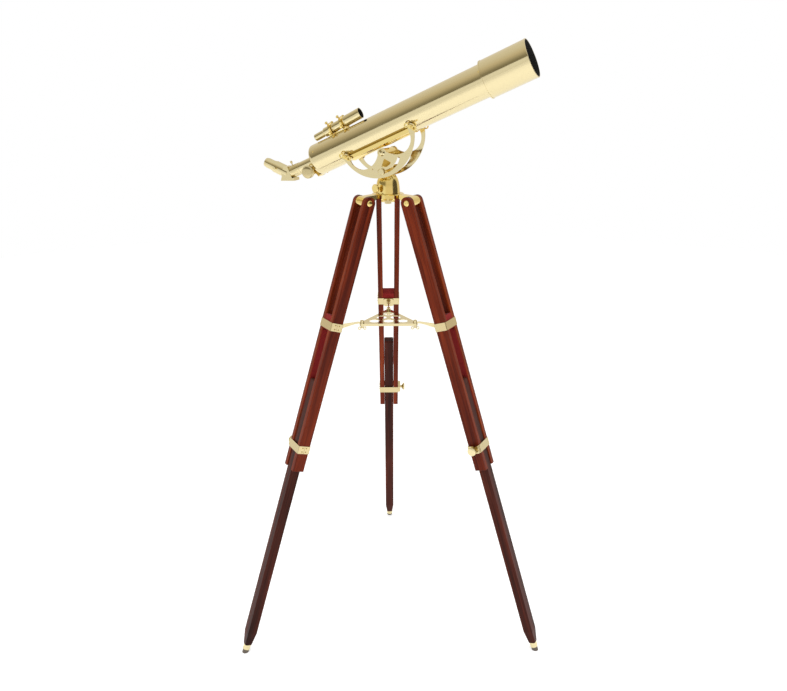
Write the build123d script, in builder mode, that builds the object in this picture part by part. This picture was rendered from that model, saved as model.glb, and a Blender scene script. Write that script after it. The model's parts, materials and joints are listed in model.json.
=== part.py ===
from build123d import *
import math
import os

os.makedirs("parts", exist_ok=True)

# A brass refracting telescope on a yoke mount and a folding wooden tripod. Millimetres, +Z up.
# The origin is on the floor under the vertical (azimuth) axis. The rear leg points to +Y.

# ---- driving dimensions ----
RUN = 0.05                # radial running clearance of a shaft in its hole
GAP = 0.3                 # gap between pieces that only pass each other

# tripod
PIVOT_HEIGHT = 1390
PIVOT_RADIUS = 80
FOOT_RADIUS = 535
LEG_ANGLES = (90, 210, 330)
SLAT_THICK = 16
SLAT_WIDTH = 36
SLAT_LENGTH = 826
SLAT_ROUND = 18
SLAT_EASE = 1.5
HALF_GAP_TOP = 20
HALF_GAP_BOTTOM = 16
PIVOT_BOLT_R = 4
BOLT_HEAD_R = 8.5
TRAY_BAND_S = 369         # distances "S" are measured down the leg from its pivot
CLAMP_BAND_S = 755
BAND_HEIGHT = 24
BAND_THICK = 1.5
CLAMP_BOSS = 7            # how far the clamp screw's boss stands out from its band
FELT_THICK = 1.0
BLOCK_TOP_S = 340
BLOCK_BOTTOM_S = 384
FELT_TOP_S = 390
FELT_BOTTOM_S = 640
INNER_LEG_X = 31.2
INNER_LEG_Y = 30
INNER_LEG_TOP_S = 540
TAPER_S = 1391
FERRULE_S = 1434
FERRULE_LENGTH = 18
FERRULE_R = 11.5
SPIGOT_R = 9.8
FOOT_TIP_R = 10
CLAMP_SCREW_R = 3
BRACE_PIN_IN = 30.1       # brace pin, inwards from the leg's centre line
BRACE_PIN_R = 2
EAR_R = 7.5

# tray
TRAY_TOP = 1028.5
TRAY_THICK = 2
TRAY_RIM = 7.5
TRAY_TIP_R = 8
TRAY_SCREW_CIRCLE = 93
TRAY_HOLE_R = 15.9
TRAY_HOLE_CIRCLES = ((49.7, 90), (24.8, 30))
EYE_THICK = 3

# head and pedestal
FLANGE_R = 46.5
FLANGE_BOTTOM = 1400
FLANGE_TOP = 1411
KNUCKLE_R = 17
KNUCKLE_HALF = 19.8
SPINDLE_R = 6
PEDESTAL_R = 35.2
DOME_TOP = 1466
LOCK_SCREW_Z = 1428
LOCK_SCREW_ANGLE = 225

# yoke
AZIMUTH = -21.6           # where the tube points, seen from above
ALTITUDE = 23.6
ALT_PIVOT_Z = 1528
TUBE_AXIS_ABOVE_PIVOT = 62.9
PLATE_MID = 45
PLATE_THICK = 5
YOKE_OUTER_R = 117
YOKE_OUTER_CENTRE = 50
SLOT_R = 52
SLOT_WIDTH = 8
SLOT_HALF_ANGLE = 52
EAR_U = 108
EAR_V = 31
ALT_PIN_R = 5
ALT_LOCK_R = 3

# tube, stations along its axis from the point above the tripod's centre, + towards the front
TUBE_R = 45
TUBE_WALL = 1.5
TUBE_BACK = -240
TUBE_FRONT = 320
CELL_BACK = 307
CELL_FRONT = 346
SHIELD_FRONT = 438
SHIELD_R = 51.5
LENS_R = 41
DRAW_R = 16.5
DRAW_INNER_R = 14.8
DRAW_FRONT = -150
DRAW_BACK = -312
ADAPTER_FRONT = -309
ADAPTER_BACK = -341
NOSE_R = 15.87
PINION_S = -269
PINION_Y = -24.5
GEAR_MODULE = 0.7
GEAR_TEETH = 17
FOCUS_KNOB_R = 18.5
DIAGONAL_S = -351
FINDER_MIDDLE = -142      # station where the finder's height is given
FINDER_Y = 62.9
FINDER_TILT = 2.75
FINDER_BACK = -223
FINDER_FRONT = -61
FINDER_R = 15.6

# ---- frames ----
SPLAY = math.atan2(FOOT_RADIUS - PIVOT_RADIUS, PIVOT_HEIGHT)


def leg_plane(angle):
    """A leg's frame at its pivot: X across the leg, Y outwards, Z up the leg."""
    a = math.radians(angle)
    pivot = (PIVOT_RADIUS * math.cos(a), PIVOT_RADIUS * math.sin(a), PIVOT_HEIGHT)
    across = (math.sin(a), -math.cos(a), 0)
    up = (-math.sin(SPLAY) * math.cos(a), -math.sin(SPLAY) * math.sin(a), math.cos(SPLAY))
    return Plane(origin=pivot, x_dir=across, z_dir=up)


def leg_side(leg, x=0):
    """Side view of a leg: sketch X points outwards, sketch Y up the leg."""
    return Plane(origin=leg.origin + leg.x_dir * x, x_dir=leg.y_dir, z_dir=leg.x_dir)


def leg_front(leg, y=0):
    """Inner view of a leg: sketch X across, sketch Y up the leg, normal inwards."""
    return Plane(origin=leg.origin + leg.y_dir * y, x_dir=leg.x_dir, z_dir=-leg.y_dir)


def leg_section(leg, s):
    """Square section of a leg at distance s down from its pivot."""
    return leg.offset(-s)


yaw = math.radians(AZIMUTH)
pitch = math.radians(ALTITUDE)
level = Vector(math.cos(yaw), math.sin(yaw), 0)
near = Vector(math.sin(yaw), -math.cos(yaw), 0)
ahead = level * math.cos(pitch) + Vector(0, 0, math.sin(pitch))
above = Vector(0, 0, math.cos(pitch)) - level * math.sin(pitch)
alt_pivot = Vector(0, 0, ALT_PIVOT_Z)
tube_zero = alt_pivot + Vector(0, 0, TUBE_AXIS_ABOVE_PIVOT / math.cos(pitch))
tube_side = Plane(origin=tube_zero, x_dir=ahead, z_dir=near)
tube_axis = Axis(tube_zero, ahead)
pedestal_side = Plane(origin=(0, 0, 0), x_dir=level, z_dir=near)


def tube_at(s):
    """Square section of the tube at station s: sketch Y is up, sketch X away from the near side."""
    return Plane(origin=tube_zero + ahead * s, x_dir=-near, z_dir=ahead)


def yoke_at(offset):
    """A plane parallel to the yoke plates, with its origin on the altitude axis."""
    return Plane(origin=alt_pivot + near * offset, x_dir=ahead, z_dir=near)


def half_gap(s):
    """Half the gap between a leg's two slats at distance s down the leg."""
    return HALF_GAP_TOP + (HALF_GAP_BOTTOM - HALF_GAP_TOP) * s / SLAT_LENGTH


def strip(inner, outer, top, bottom):
    """Corners of a tapered strip between two offsets from the slats' inner face."""
    return [
        (half_gap(top) + inner, -top),
        (half_gap(top) + outer, -top),
        (half_gap(bottom) + outer, -bottom),
        (half_gap(bottom) + inner, -bottom),
    ]


def finish(builder, name):
    """Labels a finished piece and writes its STEP file."""
    builder.part.label = name
    export_step(builder.part, f"parts/{name}.step")


def thumb_screw(centre, out, shank_r, tip, neck, collar_r, knob_r, knob_start, knob_end):
    """A turned thumb screw along the direction "out"; distances are measured from the centre."""
    ease = min(1.5, (knob_end - knob_start) / 4)
    square = out.cross(Vector(0.31, 0.47, 0.83)).normalized()
    with BuildSketch(Plane(origin=centre, x_dir=out, z_dir=square)) as half:
        with BuildLine():
            Polyline(
                (tip, 0),
                (tip, shank_r),
                (neck, shank_r),
                (neck, collar_r),
                (knob_start, collar_r + 0.5),
                (knob_start + 2 * ease, knob_r),
                (knob_end - ease, knob_r),
                (knob_end, knob_r - ease),
                (knob_end, 0),
                close=True,
            )
        make_face()
    revolve(half.sketch, axis=Axis(centre, out), revolution_arc=360)


# ---- legs ----
def make_slats(leg, name):
    with BuildPart() as slats:
        with BuildSketch(leg_front(leg)):
            with BuildLine():
                Polyline(*strip(0, SLAT_THICK, -SLAT_ROUND, SLAT_LENGTH), close=True)
            make_face()
        extrude(amount=SLAT_WIDTH / 2, both=True)
        with BuildSketch(leg_side(leg)):
            Circle(SLAT_ROUND)
            with Locations((0, -SLAT_LENGTH / 2)):
                Rectangle(SLAT_WIDTH, SLAT_LENGTH)
        extrude(amount=3 * SLAT_WIDTH, both=True, mode=Mode.INTERSECT)
        broad = slats.faces().sort_by(SortBy.AREA)[-2:]
        fillet(broad.edges(), radius=SLAT_EASE)
        with BuildSketch(leg_side(leg)):
            Circle(PIVOT_BOLT_R + RUN)
            with Locations((0, -CLAMP_BAND_S)):
                Circle(CLAMP_SCREW_R + RUN)
        extrude(amount=3 * SLAT_WIDTH, both=True, mode=Mode.SUBTRACT)
        mirror(about=leg_side(leg))
    finish(slats, name)


def make_felt(leg, name):
    """A felt-covered stop block between the slats, and a felt strip down each inner face."""
    with BuildPart() as felt:
        with BuildSketch(leg_front(leg)):
            with BuildLine():
                Polyline(
                    (-half_gap(BLOCK_TOP_S), -BLOCK_TOP_S),
                    (half_gap(BLOCK_TOP_S), -BLOCK_TOP_S),
                    (half_gap(BLOCK_BOTTOM_S), -BLOCK_BOTTOM_S),
                    (-half_gap(BLOCK_BOTTOM_S), -BLOCK_BOTTOM_S),
                    close=True,
                )
            make_face()
        extrude(amount=SLAT_WIDTH / 2 - 1, both=True)
        with BuildSketch(leg_front(leg)):
            with BuildLine():
                Polyline(*strip(-FELT_THICK, 0, FELT_TOP_S, FELT_BOTTOM_S), close=True)
            make_face()
        extrude(amount=SLAT_WIDTH / 2 - 2, both=True)
        mirror(about=leg_side(leg))
    finish(felt, name)


def band(leg, s):
    """A brass strap around both slats, centred at distance s. Returns its outer half width."""
    top = s - BAND_HEIGHT / 2
    half_x = half_gap(top) + SLAT_THICK + RUN
    half_y = SLAT_WIDTH / 2 + RUN
    with BuildSketch(leg_section(leg, s + BAND_HEIGHT / 2)) as ring:
        RectangleRounded(2 * (half_x + BAND_THICK), 2 * (half_y + BAND_THICK), SLAT_EASE + 1)
        RectangleRounded(2 * half_x, 2 * half_y, SLAT_EASE - 0.3, mode=Mode.SUBTRACT)
    extrude(ring.sketch, amount=BAND_HEIGHT)
    return half_x + BAND_THICK


def make_tray_band(leg, name):
    """The upper strap, with the two-eared lug that the tray brace is pinned to."""
    face_y = SLAT_WIDTH / 2 + RUN + BAND_THICK
    ear_inner = EYE_THICK / 2 + GAP
    ear_thick = 3
    with BuildPart() as tray_band:
        band(leg, TRAY_BAND_S)
        with BuildSketch(leg_front(leg, -face_y)):
            with Locations((0, -TRAY_BAND_S - 3)):
                RectangleRounded(34, 29, 8)
        extrude(amount=3)
        for side in (1, -1):
            with BuildSketch(leg_side(leg, side * (ear_inner + ear_thick / 2))):
                with Locations((-(face_y + BRACE_PIN_IN) / 2, -TRAY_BAND_S)):
                    Rectangle(BRACE_PIN_IN - face_y, 2 * EAR_R)
                with Locations((-BRACE_PIN_IN, -TRAY_BAND_S)):
                    Circle(EAR_R)
                    Circle(BRACE_PIN_R + RUN, mode=Mode.SUBTRACT)
            extrude(amount=ear_thick / 2, both=True)
    finish(tray_band, name)


def make_clamp_band(leg, name):
    """The lower strap, with the block that its clamp screw is threaded through."""
    with BuildPart() as clamp_band:
        outer_x = band(leg, CLAMP_BAND_S)
        with BuildSketch(leg_side(leg, outer_x - 0.5)):
            with Locations((0, -CLAMP_BAND_S)):
                RectangleRounded(SLAT_WIDTH - 2, BAND_HEIGHT, 2)
        extrude(amount=CLAMP_BOSS + 0.5)
        with BuildSketch(leg_side(leg)):
            with Locations((0, -CLAMP_BAND_S)):
                Circle(CLAMP_SCREW_R + RUN)
        extrude(amount=3 * SLAT_WIDTH, mode=Mode.SUBTRACT)
    finish(clamp_band, name)


def make_clamp_screw(leg, name):
    tip = INNER_LEG_X / 2 + 0.5
    boss_face = half_gap(CLAMP_BAND_S - BAND_HEIGHT / 2) + SLAT_THICK + BAND_THICK + CLAMP_BOSS + GAP
    centre = leg_section(leg, CLAMP_BAND_S)
    with BuildPart() as clamp_screw:
        with BuildSketch(Plane(origin=centre.origin, x_dir=leg.x_dir, z_dir=leg.y_dir)):
            with BuildLine():
                Polyline(
                    (tip, 0),
                    (tip, CLAMP_SCREW_R),
                    (boss_face, CLAMP_SCREW_R),
                    (boss_face, 4.5),
                    (boss_face + 4, 4),
                    (boss_face + 10, 12),
                    (boss_face + 12.5, 13),
                    (boss_face + 14.5, 12.4),
                    (boss_face + 15.5, 8),
                    (boss_face + 14.5, 0),
                    close=True,
                )
            make_face()
        revolve(axis=Axis(centre.origin, leg.x_dir), revolution_arc=360)
    finish(clamp_screw, name)


def make_inner_leg(leg, name):
    """The sliding leg: square with a bevelled top, tapering to a round spigot for the ferrule."""
    with BuildPart() as inner_leg:
        with BuildSketch(leg_section(leg, INNER_LEG_TOP_S)):
            RectangleRounded(INNER_LEG_X - 6, INNER_LEG_Y - 6, 1)
        with BuildSketch(leg_section(leg, INNER_LEG_TOP_S + 4)):
            RectangleRounded(INNER_LEG_X, INNER_LEG_Y, 1.5)
        loft()
        with BuildSketch(leg_section(leg, INNER_LEG_TOP_S + 4)):
            RectangleRounded(INNER_LEG_X, INNER_LEG_Y, 1.5)
        extrude(amount=-(TAPER_S - INNER_LEG_TOP_S - 4))
        with BuildSketch(leg_section(leg, TAPER_S)):
            RectangleRounded(INNER_LEG_X, INNER_LEG_Y, 1.5)
        with BuildSketch(leg_section(leg, FERRULE_S)):
            RectangleRounded(2 * FERRULE_R - 0.4, 2 * FERRULE_R - 0.4, 6)
        loft()
        with BuildSketch(leg_section(leg, FERRULE_S)):
            Circle(SPIGOT_R)
        extrude(amount=-(FERRULE_LENGTH - 4))
    finish(inner_leg, name)


def make_ferrule(leg, name):
    with BuildPart() as ferrule:
        with BuildSketch(leg_section(leg, FERRULE_S)):
            Circle(FERRULE_R)
        extrude(amount=-FERRULE_LENGTH)
        chamfer(ferrule.edges().sort_by(Axis.Z)[0], length=1)
        with BuildSketch(leg_section(leg, FERRULE_S)):
            Circle(SPIGOT_R + RUN)
        extrude(amount=-(FERRULE_LENGTH - 4 + RUN), mode=Mode.SUBTRACT)
    finish(ferrule, name)


def make_foot_tip(leg, name):
    """A rubber tip below the ferrule, its sole cut flat on the floor."""
    with BuildPart() as foot_tip:
        with BuildSketch(leg_section(leg, FERRULE_S + FERRULE_LENGTH)):
            Circle(FOOT_TIP_R)
        extrude(amount=-3 * FOOT_TIP_R)
        split(bisect_by=Plane.XY, keep=Keep.TOP)
    finish(foot_tip, name)


def make_brace(leg, name):
    """The flat tapered bar from the band's lug to the tray, with its pin and its round nut."""
    radial = Vector(-leg.x_dir.Y, leg.x_dir.X, 0)
    pin = leg.origin - leg.z_dir * TRAY_BAND_S - leg.y_dir * BRACE_PIN_IN
    reach = pin.dot(radial) - TRAY_SCREW_CIRCLE
    eye_low = TRAY_TOP + 0.2 - pin.Z
    eye_high = eye_low + EYE_THICK
    upright = Plane(origin=pin, x_dir=-radial, z_dir=leg.x_dir)
    flip = 1 if upright.y_dir.Z > 0 else -1
    eye_top = Plane(origin=pin - radial * reach + Vector(0, 0, eye_high), z_dir=(0, 0, 1))
    with BuildPart() as brace:
        with BuildSketch(upright):
            with BuildLine():
                top = Line((0, flip * 6.4), (reach - 12, flip * (eye_high + 3)))
                tip = Polyline(
                    top @ 1,
                    (reach - 4, flip * eye_high),
                    (reach - 4, flip * eye_low),
                    (reach - 12, flip * eye_low),
                )
                Spline(
                    tip @ 1,
                    (reach * 0.55, flip * (eye_low - 0.6)),
                    (reach * 0.25, flip * -5.2),
                    (0, flip * -6.4),
                )
                Line((0, flip * -6.4), (0, flip * 6.4))
            make_face()
            Circle(6.4)
            Circle(BRACE_PIN_R + 0.03, mode=Mode.SUBTRACT)
        extrude(amount=EYE_THICK / 2, both=True)
        with BuildSketch(eye_top):
            Circle(7)
        extrude(amount=-EYE_THICK)
        with BuildSketch(Plane(origin=pin, x_dir=radial, z_dir=leg.x_dir)):
            Circle(BRACE_PIN_R)
        extrude(amount=6.6, both=True)
        for side in (1, -1):
            head = pin + leg.x_dir * side * 5.1
            with BuildSketch(Plane(origin=head, x_dir=radial, z_dir=leg.x_dir * side)):
                Circle(3.3)
            extrude(amount=1.5)
        with BuildSketch(eye_top.offset(0.05)):
            Circle(5.8)
        extrude(amount=5.5)
        chamfer(brace.faces().sort_by(Axis.Z)[-1].edges(), length=1.5)
    finish(brace, name)


for number, angle in enumerate(LEG_ANGLES, start=1):
    leg_here = leg_plane(angle)
    make_slats(leg_here, f"leg_{number}_slats")
    make_felt(leg_here, f"leg_{number}_felt")
    make_tray_band(leg_here, f"leg_{number}_tray_band")
    make_clamp_band(leg_here, f"leg_{number}_clamp_band")
    make_clamp_screw(leg_here, f"leg_{number}_clamp_screw")
    make_inner_leg(leg_here, f"leg_{number}_sliding_leg")
    make_ferrule(leg_here, f"leg_{number}_ferrule")
    make_foot_tip(leg_here, f"leg_{number}_foot_tip")
    make_brace(leg_here, f"leg_{number}_tray_brace")


# ---- tripod head ----
with BuildPart() as tripod_head:
    with BuildSketch(Plane.XY.offset(FLANGE_BOTTOM)):
        Circle(FLANGE_R)
    extrude(amount=FLANGE_TOP - FLANGE_BOTTOM)
    chamfer(tripod_head.faces().sort_by(Axis.Z)[-1].edges(), length=2)
    with BuildSketch(Plane.XY.offset(FLANGE_BOTTOM)):
        Circle(16)
    extrude(amount=-8)
    for angle in LEG_ANGLES:
        a = math.radians(angle)
        arm_side = Plane(origin=(0, 0, 0), x_dir=(math.cos(a), math.sin(a), 0),
                         z_dir=(math.sin(a), -math.cos(a), 0))
        with BuildSketch(arm_side):
            with BuildLine():
                Polyline(
                    (34, FLANGE_TOP - 0.5),
                    (PIVOT_RADIUS, PIVOT_HEIGHT + KNUCKLE_R),
                    (PIVOT_RADIUS, PIVOT_HEIGHT),
                    (PIVOT_RADIUS - 13, PIVOT_HEIGHT - 11),
                    (44, FLANGE_BOTTOM),
                    (34, FLANGE_BOTTOM),
                    close=True,
                )
            make_face()
        extrude(amount=14, both=True)
        with BuildSketch(arm_side):
            with Locations((PIVOT_RADIUS, PIVOT_HEIGHT)):
                Circle(KNUCKLE_R)
        extrude(amount=KNUCKLE_HALF, both=True)
        with BuildSketch(arm_side):
            with Locations((PIVOT_RADIUS, PIVOT_HEIGHT)):
                Circle(PIVOT_BOLT_R + RUN)
        extrude(amount=2 * KNUCKLE_HALF, both=True, mode=Mode.SUBTRACT)
    with BuildSketch(Plane.XY.offset(FLANGE_TOP)):
        Circle(SPINDLE_R + RUN)
    extrude(amount=-40, mode=Mode.SUBTRACT)
finish(tripod_head, "tripod_head")

with BuildPart() as leg_pivot_bolts:
    for angle in LEG_ANGLES:
        leg_here = leg_plane(angle)
        head_x = HALF_GAP_TOP + SLAT_THICK + GAP
        half = Plane(origin=leg_here.origin, x_dir=leg_here.x_dir, z_dir=leg_here.y_dir)
        with BuildSketch(half):
            with BuildLine():
                Polyline(
                    (-head_x - 3, 0),
                    (-head_x - 2.4, 6),
                    (-head_x, BOLT_HEAD_R),
                    (-head_x, PIVOT_BOLT_R),
                    (head_x, PIVOT_BOLT_R),
                    (head_x, BOLT_HEAD_R),
                    (head_x + 2.4, 6),
                    (head_x + 3, 0),
                    close=True,
                )
            make_face()
        revolve(axis=Axis(leg_here.origin, leg_here.x_dir), revolution_arc=360)
finish(leg_pivot_bolts, "leg_pivot_bolts")

with BuildPart() as azimuth_spindle:
    with BuildSketch(Plane.XY.offset(1380.5)):
        RegularPolygon(radius=9.8, side_count=6)
    extrude(amount=9.4)
    with BuildSketch(Plane.XY.offset(1389.9)):
        Circle(12.5)
    extrude(amount=2.1)
    with BuildSketch(Plane.XY.offset(1392)):
        Circle(SPINDLE_R)
    extrude(amount=50)
    with BuildSketch(Plane.XY.offset(LOCK_SCREW_Z - 3.5)):
        Circle(SPINDLE_R + 1)
        Circle(SPINDLE_R - 1.5, mode=Mode.SUBTRACT)
    extrude(amount=7, mode=Mode.SUBTRACT)
finish(azimuth_spindle, "azimuth_spindle")

# ---- accessory tray ----
with BuildPart() as tray:
    corners = [
        (TRAY_SCREW_CIRCLE * math.cos(math.radians(a)), TRAY_SCREW_CIRCLE * math.sin(math.radians(a)))
        for a in LEG_ANGLES
    ]
    with BuildSketch(Plane.XY.offset(TRAY_TOP - TRAY_RIM)):
        with BuildLine():
            Polyline(*corners, close=True)
        make_face()
        offset(amount=TRAY_TIP_R, kind=Kind.ARC)
    extrude(amount=TRAY_RIM)
    with BuildSketch(Plane.XY.offset(TRAY_TOP - TRAY_RIM)):
        with BuildLine():
            Polyline(*[(x * 0.80, y * 0.80) for x, y in corners], close=True)
        make_face()
        offset(amount=TRAY_TIP_R + 6, kind=Kind.ARC)
    extrude(amount=TRAY_RIM - TRAY_THICK, mode=Mode.SUBTRACT)
    with BuildSketch(Plane.XY.offset(TRAY_TOP)):
        for circle, start in TRAY_HOLE_CIRCLES:
            with PolarLocations(circle, 3, start_angle=start):
                Circle(TRAY_HOLE_R)
        with PolarLocations(TRAY_SCREW_CIRCLE, 3, start_angle=LEG_ANGLES[0]):
            Circle(2.6)
    extrude(amount=-TRAY_RIM, mode=Mode.SUBTRACT)
finish(tray, "tray")

with BuildPart() as tray_fasteners:
    for angle in LEG_ANGLES:
        a = math.radians(angle)
        spot = (TRAY_SCREW_CIRCLE * math.cos(a), TRAY_SCREW_CIRCLE * math.sin(a))
        with BuildSketch(Plane.XY.offset(TRAY_TOP - TRAY_RIM - 8)):
            with Locations(spot):
                Circle(4.5)
        extrude(amount=8 - 0.05)
        with BuildSketch(Plane.XY.offset(TRAY_TOP - TRAY_RIM - 4)):
            with Locations(spot):
                Circle(2.5)
        extrude(amount=TRAY_RIM + 4)
        wing_plane = Plane(origin=(spot[0], spot[1], TRAY_TOP - TRAY_RIM - 6), x_dir=(1, 0, 0),
                           z_dir=(0, -1, 0))
        with BuildSketch(wing_plane):
            with Locations((-8, -3), (8, -3)):
                Circle(5)
                Circle(2.6, mode=Mode.SUBTRACT)
        extrude(amount=1.3, both=True)
finish(tray_fasteners, "tray_fasteners")

# ---- pedestal ----
with BuildPart() as pedestal:
    with BuildSketch(pedestal_side):
        with BuildLine():
            foot = Line((0, FLANGE_TOP + 0.2), (PEDESTAL_R, FLANGE_TOP + 0.2))
            rim = Line(foot @ 1, (PEDESTAL_R, FLANGE_TOP + 3))
            flank = Spline(
                rim @ 1,
                (34.2, LOCK_SCREW_Z),
                (31.4, 1445),
                (26, 1458),
                (16, DOME_TOP),
                tangents=((0, 1), (-1, 0.15)),
            )
            Polyline(flank @ 1, (0, DOME_TOP), (0, FLANGE_TOP + 0.2))
        make_face()
    revolve(axis=Axis.Z, revolution_arc=360)
    with BuildSketch(pedestal_side):
        Polygon(
            (-13, DOME_TOP - 12),
            (13, DOME_TOP - 12),
            (11, ALT_PIVOT_Z),
            (-11, ALT_PIVOT_Z),
            align=None,
        )
        with Locations((0, ALT_PIVOT_Z)):
            Circle(11)
    extrude(amount=12, both=True)
    with BuildSketch(pedestal_side):
        with Locations((0, ALT_PIVOT_Z)):
            Circle(11)
        with Locations((0, ALT_PIVOT_Z - SLOT_R)):
            Circle(7)
    extrude(amount=PLATE_MID - PLATE_THICK / 2 - GAP, both=True)
    with BuildSketch(pedestal_side):
        with Locations((0, ALT_PIVOT_Z)):
            Circle(ALT_PIN_R + RUN)
        with Locations((0, ALT_PIVOT_Z - SLOT_R)):
            Circle(ALT_LOCK_R + RUN)
    extrude(amount=PLATE_MID, both=True, mode=Mode.SUBTRACT)
    with BuildSketch(Plane.XY.offset(FLANGE_TOP)):
        Circle(SPINDLE_R + RUN)
    extrude(amount=31.3, mode=Mode.SUBTRACT)
    lock_angle = math.radians(LOCK_SCREW_ANGLE)
    lock_out = Vector(math.cos(lock_angle), math.sin(lock_angle), 0)
    with BuildSketch(Plane(origin=(0, 0, LOCK_SCREW_Z), z_dir=lock_out)):
        Circle(2.4 + RUN)
    extrude(amount=PEDESTAL_R + 5, mode=Mode.SUBTRACT)
finish(pedestal, "pedestal")

with BuildPart() as azimuth_lock_screw:
    thumb_screw(Vector(0, 0, LOCK_SCREW_Z), lock_out, 2.4, SPINDLE_R - 1, 38, 4, 12.5, 46, 54)
finish(azimuth_lock_screw, "azimuth_lock_screw")


# ---- yoke ----
def make_yoke_plate(side, name):
    """An anchor-shaped plate: outer arc, two raised arms, a mast to the pivot, and an arc slot."""
    with BuildPart() as plate:
        with BuildSketch(yoke_at(side * PLATE_MID)):
            with Locations((0, YOKE_OUTER_CENTRE)):
                Circle(YOKE_OUTER_R)
            with Locations((0, EAR_V + 100)):
                Rectangle(4 * YOKE_OUTER_R, 200, mode=Mode.SUBTRACT)
            with Locations((-EAR_U, EAR_V), (EAR_U, EAR_V)):
                Circle(9.5)
            for hand in (1, -1):
                with BuildLine():
                    valley = (hand * 58, -24)
                    outer_arm = TangentArc(valley, (hand * 98, 12), tangent=(hand, 0))
                    mast = TangentArc(valley, (hand * 9.5, 5.5), tangent=(-hand, 0))
                    Polyline(mast @ 1, (hand * 8, 14), (hand * 8, 60), (hand * 99, 60), outer_arm @ 1)
                make_face(mode=Mode.SUBTRACT)
            with Locations((0, 41)):
                Rectangle(20, 60, mode=Mode.SUBTRACT)
            Circle(13)
        extrude(amount=PLATE_THICK / 2, both=True)
        with BuildSketch(yoke_at(side * PLATE_MID)):
            Circle(ALT_PIN_R + RUN)
            with Locations((-EAR_U, EAR_V), (EAR_U, EAR_V)):
                Circle(3 + RUN)
            with BuildLine(mode=Mode.PRIVATE) as slot_line:
                CenterArc((0, 0), SLOT_R, -90 - SLOT_HALF_ANGLE, 2 * SLOT_HALF_ANGLE)
            SlotArc(slot_line.line.edge(), SLOT_WIDTH)
            with BuildLine():
                FilletPolyline((0, -16.5), (17, -36), (0, -41), (-17, -36), radius=2.5, close=True)
            make_face()
        extrude(amount=PLATE_THICK, both=True, mode=Mode.SUBTRACT)
    finish(plate, name)


make_yoke_plate(1, "yoke_plate_right")
make_yoke_plate(-1, "yoke_plate_left")

with BuildPart() as altitude_pivot_bolt:
    outer_face = PLATE_MID + PLATE_THICK / 2 + GAP
    with BuildSketch(Plane(origin=alt_pivot, x_dir=near, z_dir=(0, 0, 1))):
        with BuildLine():
            Polyline(
                (-outer_face - 6, 0),
                (-outer_face - 4.5, 6),
                (-outer_face, 9.5),
                (-outer_face, ALT_PIN_R),
                (outer_face, ALT_PIN_R),
                (outer_face, 9.5),
                (outer_face + 4.5, 6),
                (outer_face + 6, 0),
                close=True,
            )
        make_face()
    revolve(axis=Axis(alt_pivot, near), revolution_arc=360)
finish(altitude_pivot_bolt, "altitude_pivot_bolt")

with BuildPart() as altitude_lock_knob:
    lock_centre = alt_pivot - Vector(0, 0, SLOT_R)
    thumb_screw(lock_centre, near, ALT_LOCK_R, -10, outer_face, 6, 9, outer_face + 1, outer_face + 7.5)
finish(altitude_lock_knob, "altitude_lock_knob")

yoke_s = -TUBE_AXIS_ABOVE_PIVOT * math.tan(pitch)   # the yoke's middle, as a tube station
with BuildPart() as saddle:
    with BuildSketch(tube_at(yoke_s - EAR_U + 4)):
        Circle(TUBE_R + 2.6)
        Circle(TUBE_R + 0.1, mode=Mode.SUBTRACT)
        with Locations((0, -TUBE_R)):
            Rectangle(62, 24, mode=Mode.INTERSECT)
    extrude(amount=2 * (EAR_U - 4))
    rail_outer = PLATE_MID - PLATE_THICK / 2
    with BuildSketch(tube_at(yoke_s - EAR_U - 9)):
        for hand in (1, -1):
            with Locations((hand * (rail_outer + 31) / 2, -37.9)):
                Rectangle(rail_outer - 31, 10)
    extrude(amount=2 * (EAR_U + 9))
    for end in (1, -1):
        with BuildSketch(tube_at(yoke_s + end * EAR_U - 9)):
            for hand in (1, -1):
                with Locations((hand * (rail_outer - 2.5), -31)):
                    Rectangle(5, 8)
        extrude(amount=18)
    with BuildSketch(yoke_at(0)):
        with Locations((-EAR_U, EAR_V), (EAR_U, EAR_V)):
            Circle(3 + RUN)
    extrude(amount=PLATE_MID, both=True, mode=Mode.SUBTRACT)
finish(saddle, "saddle")

with BuildPart() as saddle_wing_nuts:
    wing_turn = math.radians(-42)
    for side in (1, -1):
        for end in (1, -1):
            stud = alt_pivot + ahead * end * EAR_U + above * EAR_V
            stud_out = near * side
            with BuildSketch(Plane(origin=stud + stud_out * 38, z_dir=stud_out)):
                Circle(3)
            extrude(amount=19)
            with BuildSketch(Plane(origin=stud + stud_out * (outer_face - 0.1), z_dir=stud_out)):
                Circle(6.5)
            extrude(amount=7, taper=8)
            wing_plane = Plane(origin=stud + stud_out * (outer_face + 4), x_dir=ahead, z_dir=stud_out)
            reach = Vector(12 * math.cos(wing_turn), 12 * side * math.sin(wing_turn), 0)
            with BuildSketch(wing_plane):
                with Locations(reach, -reach):
                    Circle(6.8)
                    Circle(3.6, mode=Mode.SUBTRACT)
            extrude(amount=1.6, both=True)
finish(saddle_wing_nuts, "saddle_wing_nuts")


# ---- main tube ----
def turned(points):
    """Revolves a closed profile of (station, radius) points about the tube's axis."""
    with BuildSketch(tube_side) as profile:
        with BuildLine():
            Polyline(*points, close=True)
        make_face()
    revolve(profile.sketch, axis=tube_axis, revolution_arc=360)


def lens(side, axis, stations, radius):
    """A round lens: stations of its back centre, back rim, front rim and front centre."""
    back_centre, back_rim, front_rim, front_centre = stations
    with BuildSketch(side) as profile:
        with BuildLine():
            back = TangentArc((back_centre, 0), (back_rim, radius), tangent=(0, 1))
            front = TangentArc((front_centre, 0), (front_rim, radius), tangent=(0, 1))
            Line(back @ 1, front @ 1)
            Line(back @ 0, front @ 0)
        make_face()
    revolve(profile.sketch, axis=axis, revolution_arc=360)


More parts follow.
